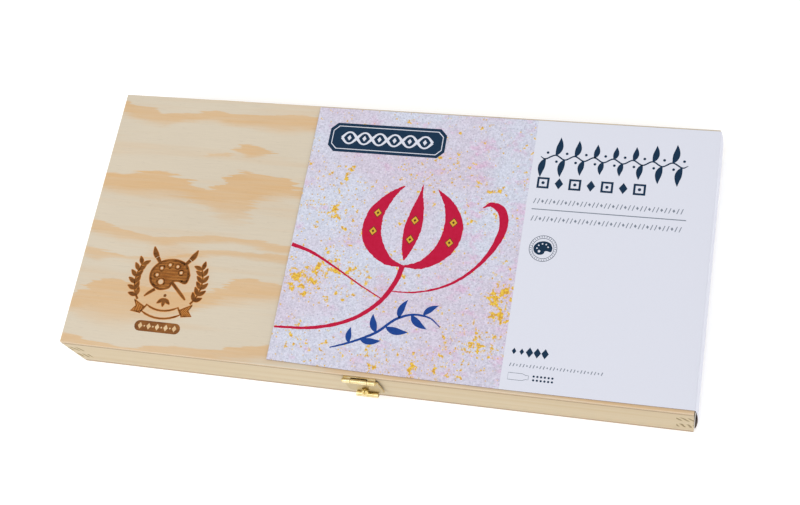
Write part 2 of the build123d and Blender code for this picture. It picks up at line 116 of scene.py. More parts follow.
# Latewood flames in the lid's veneer, from back to front: upper edge, lower edge, strength.
# Each edge is a list of places in millimetres from the lid's centre.
FLAMES = [
    ([(-190, 81), (-170, 77), (-158, 74), (-140, 75.5), (-122, 78.5), (-108, 76), (-90, 78), (-60, 78.5),
      (-20, 74), (40, 79), (110, 75), (190, 80)],
     [(-190, 71), (-166, 65), (-148, 67), (-124, 69), (-100, 66.5), (-80, 65), (-60, 66),
      (-20, 62), (40, 68), (110, 60), (190, 68)], 0.85),
    ([(-190, 50), (-109, 50), (-104, 54), (-94, 55.5), (-84, 53), (-80, 50), (20, 50), (50, 56), (85, 54),
      (110, 50), (190, 50)],
     [(-190, 50), (-109, 50), (-104, 48), (-96, 45.5), (-86, 48), (-80, 50), (20, 50), (50, 44), (85, 45),
      (110, 50), (190, 50)], 0.9),
    ([(-190, 46), (-128, 46), (-122, 48.6), (-110, 48.4), (-104, 46), (190, 46)],
     [(-190, 46), (-128, 46), (-122, 45.4), (-110, 45.6), (-104, 46), (190, 46)], 0.6),
    ([(-190, 30), (-170, 30.5), (-158, 32.5), (-140, 31), (-131, 28), (-122, 24), (-112, 24.5), (-104, 34),
      (-96, 38), (-86, 35.5), (-72, 34.5), (-62, 30), (-30, 26), (30, 34), (90, 28), (140, 20), (190, 26)],
     [(-190, 16), (-165, 13), (-140, 14), (-124, 12), (-112, 7), (-98, 2), (-90, 3), (-84, 12), (-76, 17),
      (-60, 20), (-30, 8), (30, 14), (90, 12), (140, 2), (190, 10)], 0.95),
    ([(-190, -3), (-178, -5), (-168, -8.5), (-155, -10.5), (-140, -10.5), (-122, -9), (-100, -7), (-84, -8),
      (-60, -10.5), (0, -6), (70, -12), (130, -8), (190, -4)],
     [(-190, -13), (-178, -15), (-160, -17), (-140, -18), (-120, -15), (-100, -12), (-84, -13), (-60, -16),
      (0, -16), (70, -20), (130, -20), (190, -12)], 0.75),
    ([(-190, -22.5), (-180, -22.5), (-168, -25), (-155, -26), (-135, -24), (-118, -20), (-104, -17),
      (-84, -16.5), (-60, -16), (0, -24), (70, -30), (130, -26), (190, -28)],
     [(-190, -29), (-180, -31), (-168, -29), (-155, -28), (-135, -27), (-118, -24), (-104, -22), (-84, -21),
      (-60, -22), (0, -36), (70, -36), (130, -38), (190, -36)], 0.7),
    ([(-190, -56), (-184, -50), (-178, -44), (-162, -42), (-148, -44), (-130, -46), (-108, -45), (-95, -41.5),
      (-88, -36), (-80, -33.5), (-68, -34), (-50, -36), (10, -44), (80, -50), (150, -42), (190, -48)],
     [(-190, -66), (-180, -69), (-162, -72), (-148, -71), (-130, -66), (-108, -57), (-95, -53), (-80, -51),
      (-68, -49), (-50, -48), (10, -60), (80, -62), (150, -64), (190, -62)], 0.85),
    ([(-190, -79), (-176, -80.5), (-162, -83), (-148, -84), (-134, -82.5), (-118, -80.5), (-100, -80),
      (-84, -78.5), (-70, -75.5), (-50, -73), (10, -80), (80, -76), (150, -80), (190, -78)],
     [(-190, -88), (-160, -89), (-134, -88), (-100, -88), (-70, -86), (-50, -84), (10, -88), (80, -86),
      (150, -90), (190, -88)], 0.8),
]
FLAME_REACH = 90            # mm to the front and to the back that the flames' curves span
FLAME_EDGE = 1.0            # mm over which a flame's sharp edge blurs
TORN_LENGTH = 16.0          # mm that the torn fibres reach along the grain
WAVE = 2.4                  # mm that an edge wanders across the grain
EMBLEM = (-129, -40)        # middle of the emblem that is burned in
TOASTED = (14, 31)          # mm from there, where the toasted colour starts to fade and where it ends
SEAM_SHADE_REACH = 0.5             # mm of painted shade along the seams
# brown painted into the seams and along the base's edges as painted shade
SEAM_SHADE_BROWN = "6f5440"


def flames(wood):
    """How much latewood shows in the rotary-cut veneer: torn and sharp above, fading below."""
    put = wood.put
    # edges torn by fibres 1.7 mm wide and 45 mm long, waves 6 mm across, and streaks 2.2 mm wide inside
    torn = put("TexNoise", wood.steps_of(45, 1.7, 40), Scale=1, Detail=3)
    torn = put("MapRange", torn, 0.3, 0.7, -TORN_LENGTH / 2, TORN_LENGTH / 2)
    wave = put("TexNoise", wood.steps_of(22, 6, 40), Scale=1, Detail=3)
    wave = put("MapRange", wave, 0.3, 0.7, -WAVE / 2, WAVE / 2)
    streak = put("TexNoise", wood.steps_of(45, 2.2, 40), Scale=1, Detail=2)
    streak = put("MapRange", streak, 0.3, 0.65, 0.78, 1.0)
    x = put("Math", wood.spot[0], torn, operation="ADD")
    y = put("Math", wood.spot[1], wave, operation="ADD")
    across = put("MapRange", x, -HALF_LENGTH, HALF_LENGTH)
    most = None
    for upper, lower, strength in FLAMES:
        edges = []
        for points in (upper, lower):
            height = put("FloatCurve", Value=across)
            line = height.node.mapping.curves[0]
            spots = [(0.5 + 0.5 * px / HALF_LENGTH, 0.5 + 0.5 * py / FLAME_REACH) for px, py in points]
            line.points[0].location = spots[0]
            line.points[1].location = spots[-1]
            for place in spots[1:-1]:
                line.points.new(*place)
            height.node.mapping.update()
            edges.append(put("MapRange", height, 0, 1, -FLAME_REACH, FLAME_REACH))
        depth = put("Math", edges[0], y, operation="SUBTRACT")
        span = put("Math", edges[0], edges[1], operation="SUBTRACT")
        share = put("Math", depth, put("Math", span, 0.5, operation="MAXIMUM"), operation="DIVIDE")
        fade = put("MapRange", share, 0.5, 1.2, strength, 0, interpolation_type="SMOOTHSTEP")
        sharp = put("MapRange", depth, 0, FLAME_EDGE, 0, 1, interpolation_type="SMOOTHSTEP")
        there = put("MapRange", span, 0.6, 2.5, 0, 1)
        mask = put("Math", put("Math", fade, sharp, operation="MULTIPLY"), there, operation="MULTIPLY")
        most = mask if most is None else put("Math", most, mask, operation="MAXIMUM")
    return put("Math", most, streak, operation="MULTIPLY")


def pine_plywood(name, bottom, top, seam, edge_shade):
    """Pine plywood, sanded and left bare: rotary-cut veneer outside, a darker core in its edges.

    Bottom, top and seam are heights. The edges are painted darker near the seam as painted shade, and the
    last argument is how much painted shade darkens them away from the seam.
    """
    wood = Finish(name, Roughness=0.62, Specular_IOR_Level=0.25)
    put = wood.put
    # faint wide bands between the flames
    band = put("TexNoise", wood.steps_of(150, 7, 60), Scale=1, Detail=3)
    band = put("MapRange", band, 0.5, 0.72, 0, 0.3)
    mask = put("Math", flames(wood), band, operation="MAXIMUM")
    colour = put("MixRGB", mask, linear("cdc1ad"), linear("cfaa7c"))
    # the hot die toasted the wood round the emblem
    toast = put("VectorMath", wood.place, (*EMBLEM, top), operation="SUBTRACT")
    toast = put("VectorMath", toast, operation="LENGTH").node.outputs["Value"]
    toast = put("MapRange", toast, *TOASTED, 0.45, 0, interpolation_type="SMOOTHSTEP")
    colour = put("MixRGB", toast, colour, linear("cfa473"))
    # fibres 0.45 mm wide and a few centimetres long
    fibre = put("TexNoise", wood.steps_of(22, 0.45, 3), Scale=1, Detail=4, Roughness=0.65)
    shade = put("MapRange", fibre, 0.25, 0.75, 0.95, 1.04)
    drift = put("TexNoise", wood.steps_of(110, 50, 60), Scale=1, Detail=2)
    shade = put("Math", shade, put("MapRange", drift, 0.3, 0.7, 0.975, 1.025), operation="MULTIPLY")
    # resin canals: short dark dashes along the grain
    canal = put("TexNoise", wood.steps_of(6, 0.35, 2), Scale=1, Detail=1)
    shade = put("Math", shade, put("MapRange", canal, 0.66, 0.76, 1, 0.9), operation="MULTIPLY")
    face = put("VectorMath", colour, operation="SCALE", Scale=shade)
    # edges: pale face veneers, two glue lines and a core cut across its grain
    level = put("MapRange", wood.spot[2], bottom, top, -0.5, 0.5)
    level = put("Math", level, operation="ABSOLUTE")
    cells = put("TexNoise", wood.steps_of(1.1, 1.1, 0.5), Scale=1, Detail=3)
    core = put("MixRGB", cells, linear("ad9068"), linear("c4aa84"))
    edge = put("MixRGB", put("MapRange", level, 0.15, 0.21, 1, 0), linear("cdbda6"), core)
    edge = put("MixRGB", put("Math", level, 0.19, 0.02, operation="COMPARE"), edge, linear("9a7e5c"))
    # painted shade: the edges darken towards the seam, and by the last argument all over
    off_seam = put("Math", put("Math", wood.spot[2], seam, operation="SUBTRACT"), operation="ABSOLUTE")
    seam_shaded = put("Math", put("MapRange", off_seam, 0, 2 * SEAM_SHADE_REACH, 0.8, 0), edge_shade, operation="MAXIMUM")
    edge = put("MixRGB", seam_shaded, edge, linear(SEAM_SHADE_BROWN))
    side = put("Math", wood.facing[2], operation="ABSOLUTE")
    side = put("MapRange", side, 0.35, 0.75, 1, 0)
    raised = put("Bump", Height=fibre, Strength=0.5, Distance=0.05 * MM)
    return wood.give(Base_Color=put("MixRGB", side, face, edge), Normal=raised)


RING_PITCH = 3.4            # mm from one growth ring to the next


def solid_pine(name, grain, pith):
    """Solid pine, planed and sanded: quiet grain along one axis, and growth rings where it is cut across."""
    wood = Finish(name, Roughness=0.6, Specular_IOR_Level=0.25)
    put = wood.put
    # streaks 0.9 mm wide in bands 7 mm wide, drawn out along the grain
    fine, broad, flat = [0.9, 0.9, 0.9], [7, 7, 7], [1, 1, 1]
    fine[grain] = 70
    broad[grain] = 240
    flat[grain] = 0
    streak = put("TexNoise", wood.steps_of(*fine), Scale=1, Detail=4, Roughness=0.6)
    band = put("TexNoise", wood.steps_of(*broad), Scale=1, Detail=2)
    tone = put("Math", streak, 0.5, band, operation="MULTIPLY_ADD")
    tone = put("MapRange", tone, 0.5, 1.0, 0, 1)
    long_grain = put("MixRGB", tone, linear("c6b79b"), linear("bda988"))
    # growth rings, round a pith outside the board
    away = put("VectorMath", wood.place, pith, operation="SUBTRACT")
    away = put("VectorMath", away, flat, operation="MULTIPLY")
    radius = put("VectorMath", away, operation="LENGTH").node.outputs["Value"]
    wobble = put("TexNoise", wood.steps_of(5), Scale=1, Detail=2)
    radius = put("Math", wobble, 1.6, radius, operation="MULTIPLY_ADD")
    ring = put("Math", put("Math", radius, RING_PITCH, operation="DIVIDE"), operation="FRACT")
    ring = put("MapRange", ring, 0.4, 0.8, 0, 1, interpolation_type="SMOOTHSTEP")
    end_grain = put("MixRGB", ring, linear("c2b18f"), linear("7f6b47"))
    cut = put("Math", wood.facing[grain], operation="ABSOLUTE")
    whole = put("MixRGB", put("MapRange", cut, 0.6, 0.9, 0, 1), long_grain, end_grain)
    # painted shade in the seams under the lid and over the base, on upright faces only
    shade_under_lid = put("MapRange", wood.spot[2], SEAM - 2.4 * SEAM_SHADE_REACH, SEAM, 0, 0.85)
    shade_over_base = put("MapRange", wood.spot[2], BASE_TOP, BASE_TOP + SEAM_SHADE_REACH, 0.4, 0)
    shade = put("Math", shade_under_lid, shade_over_base, operation="MAXIMUM")
    level = put("Math", wood.facing[2], operation="ABSOLUTE")
    shade = put("Math", shade, put("MapRange", level, 0.5, 0.8, 1, 0), operation="MULTIPLY")
    raised = put("Bump", Height=streak, Strength=0.5, Distance=0.04 * MM)
    return wood.give(Base_Color=put("MixRGB", shade, whole, linear(SEAM_SHADE_BROWN)), Normal=raised)


# Metal, plastic and lacquer

def polished_brass(name, curl, flat, roughness):
    """Brass, barrel-polished: bright where it is curled. Faces that look straight to the front or back are
    rougher and less glossy, and their colour is painted darker there as painted shade.
    """
    brass = Finish(name, Metallic=1.0)
    put = brass.put
    front = put("Math", brass.facing[1], operation="ABSOLUTE")
    satin_and_shade = put("MapRange", front, 0.985, 0.998, 0, 1)
    tarnish = put("TexNoise", brass.steps_of(3.5), Scale=1, Detail=4)
    tone = put("MixRGB", put("MapRange", tarnish, 0.4, 0.75, 0, 1), linear(curl), linear("d9bf7a"))
    # painted shade: the flat colour on faces that look straight to the front or back
    tone = put("MixRGB", satin_and_shade, tone, linear(flat))
    # scratches 0.15 mm wide
    scratch = put("TexNoise", brass.steps_of(2.5, 2.5, 0.15), Scale=1, Detail=3)
    rough = put("MapRange", scratch, 0.3, 0.8, roughness, roughness + 0.12)
    rough = put("Math", satin_and_shade, 0.16, rough, operation="MULTIPLY_ADD")
    raised = put("Bump", Height=scratch, Strength=0.35, Distance=0.01 * MM)
    return brass.give(Base_Color=tone, Roughness=rough, Normal=raised)


def moulded_tray(name):
    """White polystyrene sheet, vacuum-formed: half-glossy, with a faint pebble."""
    sheet = Finish(name, Roughness=0.42)
    pebble = sheet.put("TexNoise", sheet.steps_of(0.8), Scale=1, Detail=2)
    raised = sheet.put("Bump", Height=pebble, Strength=0.4, Distance=0.03 * MM)
    white = sheet.put("MixRGB", pebble, linear("d0cec9"), linear("dddbd6"))
    return sheet.give(Base_Color=white, Normal=raised)


def moulded_cap(name):
    """Polypropylene, injection-moulded: slightly waxy white."""
    plastic = Finish(name, Roughness=0.36)
    cloud = plastic.put("TexNoise", plastic.steps_of(5), Scale=1, Detail=2)
    raised = plastic.put("Bump", Height=cloud, Strength=0.3, Distance=0.02 * MM)
    white = plastic.put("MixRGB", cloud, linear("d3d1cb"), linear("e2e1dc"))
    return plastic.give(Base_Color=white, Normal=raised)


METAL, ENAMEL, LINE = "b9bbbd", "e4e2dc", "2b2f3a"
# Along a tube from nozzle to fold: where each colour starts, as a share of the length, and 1 for metal
TUBE_STRIPES = [(0.0, METAL, 1), (0.11, ENAMEL, 0), (0.17, "paint", 0), (0.40, ENAMEL, 0), (0.43, LINE, 0),
                (0.438, ENAMEL, 0), (0.80, LINE, 0), (0.808, ENAMEL, 0), (0.9, METAL, 1)]


def lacquered_tube(name, paint, front, back):
    """Aluminium tube, lacquered white with a band in the paint's colour, and bare metal at neck and fold."""
    tube = Finish(name)
    put = tube.put
    share = put("MapRange", tube.spot[1], front, back, 0, 1)
    colour = put("ValToRGB", share)
    metal = put("ValToRGB", share)
    for output in (colour, metal):
        ramp = output.node.color_ramp
        ramp.interpolation = "CONSTANT"
        for stripe in TUBE_STRIPES[2:]:
            ramp.elements.new(stripe[0])
        for element, (start, tone, bare) in zip(ramp.elements, TUBE_STRIPES):
            element.position = start
            lacquer = linear(paint if tone == "paint" else tone)
            element.color = lacquer if output is colour else (bare, bare, bare, 1)
    dents = put("TexNoise", tube.steps_of(9, 16, 9), Scale=1, Detail=2)
    rough = put("MapRange", dents, 0.3, 0.7, 0.26, 0.36)
    raised = put("Bump", Height=dents, Strength=0.5, Distance=0.5 * MM)
    return tube.give(Base_Color=colour, Metallic=metal, Roughness=rough, Normal=raised)


# Card and print

GROUND_EDGE = 83.0          # x where the printed ground ends, and plain white card follows
# Where gold lies thickest on the printed ground: x, y, reach across, reach up, share
GOLD_DRIFTS = [(-44, -30, 19, 13, 1.25), (-22, -24, 26, 14, 0.95), (26, 42, 34, 16, 0.35),
               (-30, 16, 26, 26, 0.5), (76, -34, 12, 20, 1.15), (66, -60, 24, 14, 0.8),
               (22, -74, 44, 11, 0.7), (-46, -64, 16, 12, 0.5), (60, 24, 24, 18, 0.15)]


def gold_flakes(card):
    """Gold leaf dusted on the ground: torn patches in drifts, and single specks all over."""
    put = card.put
    thick = None
    for x, y, across, up, share in GOLD_DRIFTS:
        away = put("VectorMath", card.place, (x, y, 0), operation="SUBTRACT")
        away = put("VectorMath", away, (1 / across, 1 / up, 0), operation="MULTIPLY")
        away = put("VectorMath", away, operation="LENGTH").node.outputs["Value"]
        near = put("MapRange", away, 0, 1.25, share, 0, interpolation_type="SMOOTHSTEP")
        thick = near if thick is None else put("Math", thick, near, operation="MAXIMUM")
    # clumps 6 mm across, made of torn patches 2.4 mm across
    clump = put("TexNoise", card.steps_of(6), Scale=1, Detail=1)
    patch = put("TexNoise", card.steps_of(2.4), Scale=1, Detail=2)
    amount = put("Math", clump, 0.6, patch, operation="MULTIPLY_ADD")
    amount = put("Math", thick, 0.22, amount, operation="MULTIPLY_ADD")
    gold = put("MapRange", amount, 0.98, 1.08, 0, 1, interpolation_type="SMOOTHSTEP")
    # specks in 1.7 mm cells, of which more are filled in the drifts
    cell = put("TexVoronoi", card.steps_of(1.7, 1.7, 1), Scale=1, voronoi_dimensions="2D").node
    chance = put("SeparateColor", cell.outputs["Color"]).node.outputs
    filled = put("Math", thick, 0.42, 0.045, operation="MULTIPLY_ADD")
    kept = put("Math", chance[0], filled, operation="LESS_THAN")
    size = put("MapRange", chance[1], 0, 1, 0.15, 0.42)
    near = put("Math", size, cell.outputs["Distance"], operation="SUBTRACT")
    near = put("MapRange", near, 0, 0.125, 0, 0.85)
    speck = put("Math", near, kept, operation="MULTIPLY")
    return put("Math", gold, speck, operation="MAXIMUM")


def coated_card(name):
    """Board, coated white on one side: a plain field, and a sponged lilac ground dusted with gold."""
    card = Finish(name, Roughness=0.55, Specular_IOR_Level=0.2)
    put = card.put
    # clouds of blue and violet about 5 cm wide, and blots of rose about 1.5 cm wide
    cloud = put("TexNoise", card.steps_of(50, 34, 50), Scale=1, Detail=3)
    wash = put("MixRGB", put("MapRange", cloud, 0.4, 0.6, 0, 1), linear("c9cddc"), linear("cac2d2"))
    rose = put("TexNoise", card.steps_of(15, 10, 13), Scale=1, Detail=4, Roughness=0.75)
    # the rose is laid on thicker towards the right
    rose = put("Math", rose, put("MapRange", card.spot[0], -30, 70, -0.03, 0.04), operation="ADD")
    wash = put("MixRGB", put("MapRange", rose, 0.54, 0.7, 0, 0.6), wash, linear("d3a6c6"))
    # sponged speckle about 1 mm across, with a scatter of violet and white grains
    sponge = put("TexNoise", card.steps_of(1.3), Scale=1, Detail=2, Roughness=0.6)
    wash = put("VectorMath", wash, operation="SCALE", Scale=put("MapRange", sponge, 0.3, 0.7, 0.83, 1.13))
    grain = put("TexNoise", card.steps_of(0.9), Scale=1, Detail=1)
    wash = put("MixRGB", put("MapRange", grain, 0.62, 0.7, 0, 0.5), wash, linear("8d86a6"))
    wash = put("MixRGB", put("MapRange", grain, 0.38, 0.3, 0, 0.5), wash, linear("e0e0ea"))
    glint = put("TexNoise", card.steps_of(1.1), Scale=1, Detail=3)
    gold = put("MixRGB", put("MapRange", glint, 0.4, 0.6, 0, 1), linear("c4903a"), linear("e6c243"))
    ground = put("MixRGB", gold_flakes(card), wash, gold)
    fibre = put("TexNoise", card.steps_of(0.5), Scale=1, Detail=3)
    white = put("MixRGB", fibre, linear("d2d4df"), linear("d6d8e3"))
    front = put("MixRGB", put("Math", card.spot[0], GROUND_EDGE, operation="GREATER_THAN"), ground, white)
    # the back and the cut edges are brown board, its dark tone partly painted shade
    coated = put("Math", card.facing[2], card.facing[0], operation="MAXIMUM")
    back = put("MixRGB", fibre, linear("473029"), linear("5a4034"))
    raised = put("Bump", Height=fibre, Strength=0.25, Distance=0.02 * MM)
    whole = put("MixRGB", put("MapRange", coated, 0.02, 0.1, 0, 1), back, front)
    return card.give(Base_Color=whole, Normal=raised)


def printing_ink(name, colour, thin):
    """Offset ink on coated board: even, a little lighter where it laid thin."""
    ink = Finish(name, Roughness=0.5, Specular_IOR_Level=0.15)
    mottle = ink.put("TexNoise", ink.steps_of(2.2), Scale=1, Detail=4, Roughness=0.7)
    mottle = ink.put("MapRange", mottle, 0.35, 0.7, 0, 1)
    return ink.give(Base_Color=ink.put("MixRGB", mottle, linear(colour), linear(thin)))


def scorched_pine(name, dark, light):
    """Pine scorched by a hot die: brown, uneven with the grain."""
    burn = Finish(name, Roughness=0.75, Specular_IOR_Level=0.15)
    put = burn.put
    grain = put("TexNoise", burn.steps_of(5, 0.5, 3), Scale=1, Detail=4)
    patch = put("TexNoise", burn.steps_of(7, 5, 5), Scale=1, Detail=2)
    mixed = put("MapRange", put("Math", grain, patch, operation="ADD"), 0.75, 1.25, 0, 1)
    return burn.give(Base_Color=put("MixRGB", mixed, linear(dark), linear(light)))


def studio_sweep(name):
    """White paper on a table lit from below, so that shadows stay faint."""
    paper = Finish(name, Roughness=0.9, Specular_IOR_Level=0.1, Base_Color=linear("f6f6f6"))
    return paper.give(Emission_Color=linear("ffffff"), Emission_Strength=0.23)


# Thin prints and burns, drawn as strokes

STROKE_STEP = 0.0008        # mm between the levels of strokes that may cross
STROKE_LEVELS = 5
THINNEST = 0.12             # mm, the narrowest that a stroke gets


def spline(points, steps):
    """Smooth line through points of any size: place and width together."""
    smooth = []
    for index in range(len(points) - 1):
        p1, p2 = Vector(points[index]), Vector(points[index + 1])
        p0 = Vector(points[index - 1]) if index else p1 * 2 - p2
        p3 = Vector(points[index + 2]) if index + 2 < len(points) else p2 * 2 - p1
        for step in range(steps):
            t = step / steps
            smooth.append(0.5 * (2 * p1 + (p2 - p0) * t + (2 * p0 - 5 * p1 + 4 * p2 - p3) * t * t
                                 + (3 * p1 - p0 - 3 * p2 + p3) * t ** 3))
    smooth.append(Vector(points[-1]))
    return smooth


class Film:
    """Closed thin solids that lie flat, collected into one mesh. Spread widens all its strokes."""

    def __init__(self, name, low, thickness, spread=0.0):
        self.name = name
        self.spread = spread
        self.low = low
        self.level = low + thickness
        self.count = 0
        self.corners = []
        self.faces = []

    def next_level(self):
        """Height of the next solid's top: strokes that cross lie at levels of their own, a hair apart."""
        high = self.level + STROKE_STEP * (self.count % STROKE_LEVELS)
        self.count += 1
        return high

    def strip(self, left, right, closed=False):
        """Solid between two lines with as many points each."""
        high = self.next_level()
        first = len(self.corners)
        for a, b in zip(left, right):
            for x, y in (a, b):
                self.corners.append((x, y, high))
                self.corners.append((x, y, self.low))
        count = len(left)
        for index in range(count if closed else count - 1):
            a = first + 4 * index
            b = first + 4 * ((index + 1) % count)
            self.faces.append((a, a + 2, b + 2, b))
            self.faces.append((a + 1, b + 1, b + 3, a + 3))
            self.faces.append((a, b, b + 1, a + 1))
            self.faces.append((a + 2, a + 3, b + 3, b + 2))
        if not closed:
            last = first + 4 * (count - 1)
            self.faces.append((first, first + 1, first + 3, first + 2))
            self.faces.append((last, last + 2, last + 3, last + 1))

    def stroke(self, points, steps=12, rough=0.0, closed=False):
        """Brush or pen stroke through (x, y, width) points. Rough is how far its edges shake."""
        line = spline(points + [points[0]], steps)[:-1] if closed else spline(points, steps)
        left, right = [], []
        for index, point in enumerate(line):
            before = line[index - 1] if index or closed else point
            after = line[(index + 1) % len(line)] if index + 1 < len(line) or closed else point
            run = Vector((after[0] - before[0], after[1] - before[1]))
            run = run.normalized() if run.length else Vector((1, 0))
            half = max(point[2] + self.spread, THINNEST) / 2
            for edge, side, layer in ((left, 1, 3.1), (right, -1, 9.7)):
                shake = rough * noise.noise(Vector((point[0] * 0.9, point[1] * 0.9, layer)))
                reach = side * (half + shake)
                edge.append((point[0] - run[1] * reach, point[1] + run[0] * reach))
        self.strip(left, right, closed)

    def patch(self, outline):
        """Flat solid with a convex outline."""
        high = self.next_level()
        first = len(self.corners)
        count = len(outline)
        for level in (high, self.low):
            self.corners.extend((x, y, level) for x, y in outline)
        self.faces.append(tuple(range(first, first + count)))
        self.faces.append(tuple(range(first + 2 * count - 1, first + count - 1, -1)))
        for index in range(count):
            after = (index + 1) % count
            self.faces.append((first + index, first + count + index, first + count + after, first + after))

    def piece(self, material, body):
        return mesh_piece(self.name, self.corners, self.faces, material, body)


def hatch(film, outlines, pitch, width, angle):
    """Fill the space between closed outlines with parallel strokes. Inner outlines stay open."""
    turn = math.radians(angle)
    run = (math.cos(turn), math.sin(turn))
    spun = [[(x * run[0] + y * run[1], y * run[0] - x * run[1]) for x, y in line] for line in outlines]
    heights = [y for line in spun for x, y in line]
    level = min(heights) + pitch / 2
    while level < max(heights):
        cuts = []
        for line in spun:
            for (ax, ay), (bx, by) in zip(line, line[1:] + line[:1]):
                if (ay < level) != (by < level):
                    cuts.append(ax + (bx - ax) * (level - ay) / (by - ay))
        cuts.sort()
        for start, end in zip(cuts[::2], cuts[1::2]):
            ends = [(x * run[0] - level * run[1], x * run[1] + level * run[0], width) for x in (start, end)]
            film.stroke(ends, steps=1)
        level += pitch


def circle(x, y, radius, sides=16):
    """Points round a circle."""
    turn = 2 * math.pi / sides
    return [(x + radius * math.cos(turn * k), y + radius * math.sin(turn * k)) for k in range(sides)]


def mesh_piece(name, corners, faces, material, body, smooth=False):
    """Mesh from millimetres, dressed and riding on its body."""
    mesh = bpy.data.meshes.new(name)
    mesh.from_pydata([Vector(c) * MM for c in corners], [], faces)
    mesh.validate()
    mesh.update()
    mesh.materials.append(material)
    if smooth:
        mesh.polygons.foreach_set("use_smooth", [True] * len(mesh.polygons))
    made = bpy.data.objects.new(name, mesh)
    bpy.context.collection.objects.link(made)
    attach(made, body)
    return made


def lozenge(film, x, y, reach, slim=0.7):
    """Upright lozenge round its middle."""
    film.patch([(x - reach * slim, y), (x, y - reach), (x + reach * slim, y), (x, y + reach)])


def leaf(film, x, y, heading, length, width, bend=0.0):
    """Pointed leaf from its foot: heading in degrees, bend as the share of its length that the tip drifts."""
    turn = math.radians(heading)
    points = []
    for share, full in ((0, 0.12), (0.25, 0.8), (0.5, 1.0), (0.75, 0.66), (1, 0.02)):
        along = length * share
        aside = bend * length * share * share
        points.append((x + along * math.cos(turn) - aside * math.sin(turn),
                       y + along * math.sin(turn) + aside * math.cos(turn), width * full))
    film.stroke(points, steps=6)


# Card wrap

SLEEVE_THICKNESS = 0.42
SLEEVE_TOP = CARD_HIGH[2] / MM - 0.03       # room left above for the prints
SLEEVE_BEND = 1.5                           # radius of the fold
SLEEVE_BULGE = 1.27                         # how far the flap springs out from a straight line
SLEEVE_LEFT = CARD_LOW[0] / MM
SLEEVE_OUT = CARD_HIGH[0] / MM
SLEEVE_FOOT = CARD_LOW[2] / MM
SLEEVE_BACK = CARD_HIGH[1] / MM
PANEL_STEPS, FOLD_STEPS, FLAP_STEPS = 14, 6, 20
COLUMNS = 9                                 # rows of corners from front to back
# Front edge, cut slightly bowed: x, y
FRONT_EDGE = [(-56, -82.3), (0, -83.5), (83, -84.3), (140, -84.2), (193, -83.9)]


def front_edge(x):
    """Front edge of the card at x."""
    for (x0, y0), (x1, y1) in zip(FRONT_EDGE, FRONT_EDGE[1:]):
        if x <= x1:
            return y0 + (y1 - y0) * (x - x0) / (x1 - x0)
    return FRONT_EDGE[-1][1]


def sleeve_section():
    """Outer line of the card from its left edge to the flap's foot: x, z, and the way out of the card."""
    straight = SLEEVE_OUT - SLEEVE_BULGE
    fold = straight - SLEEVE_BEND
    section = []
    for step in range(PANEL_STEPS + 1):
        section.append((SLEEVE_LEFT + (fold - SLEEVE_LEFT) * step / PANEL_STEPS, SLEEVE_TOP, 0, 1))
    for step in range(1, FOLD_STEPS + 1):
        turn = math.radians(90 / FOLD_STEPS * step)
        section.append((fold + SLEEVE_BEND * math.sin(turn), SLEEVE_TOP - SLEEVE_BEND * (1 - math.cos(turn)),
                        math.sin(turn), math.cos(turn)))
    drop = SLEEVE_TOP - SLEEVE_BEND - SLEEVE_FOOT
    for step in range(1, FLAP_STEPS + 1):
        share = step / FLAP_STEPS
        swell = 4 * share * (1 - share)
        lean = 4 * SLEEVE_BULGE * (1 - 2 * share) / drop
        size = math.hypot(1, lean)
        section.append((straight + SLEEVE_BULGE * swell, SLEEVE_FOOT + drop * (1 - share),
                        1 / size, lean / size))
    return section


def card_sleeve(material):
    """Flat panel on the lid, a round fold, and an end flap that springs away from the case."""
    section = sleeve_section()
    corners, faces = [], []
    for x, z, out_x, out_z in section:
        front = front_edge(x)
        for depth in (0, SLEEVE_THICKNESS):
            for column in range(COLUMNS):
                y = front + (SLEEVE_BACK - front) * column / (COLUMNS - 1)
                corners.append((x - out_x * depth, y, z - out_z * depth))
    row = 2 * COLUMNS
    last_line, last_column = len(section) - 1, COLUMNS - 1
    for line in range(last_line):
        for column in range(last_column):
            a = line * row + column
            b = a + COLUMNS
            faces.append((a, a + row, a + row + 1, a + 1))
            faces.append((b, b + 1, b + row + 1, b + row))
        for column in (0, last_column):
            a = line * row + column
            b = a + COLUMNS
            faces.append((a, b, b + row, a + row) if column == 0 else (a, a + row, b + row, b))
    for line in (0, last_line):
        for column in range(last_column):
            a = line * row + column
            b = a + COLUMNS
            faces.append((a, a + 1, b + 1, b) if line == 0 else (a, b, b + 1, a + 1))
    made = mesh_piece("card_sleeve", corners, faces, material, "jacket", smooth=True)
    made.data.set_sharp_from_angle(angle=math.radians(40))
    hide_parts("card_jacket")


# Prints on the card. Films lie one over the other in steps of a few thousandths of a millimetre.

PRINT_LEVEL = SLEEVE_TOP - 0.005
PRINT_STEP = 0.006
PLAIN_LEFT = 86.5           # x where the prints on the plain field start


def printed(name, layer=0):
    """Film for one ink. A higher layer lies over a lower one."""
    return Film(name, PRINT_LEVEL, PRINT_STEP * (layer + 2))


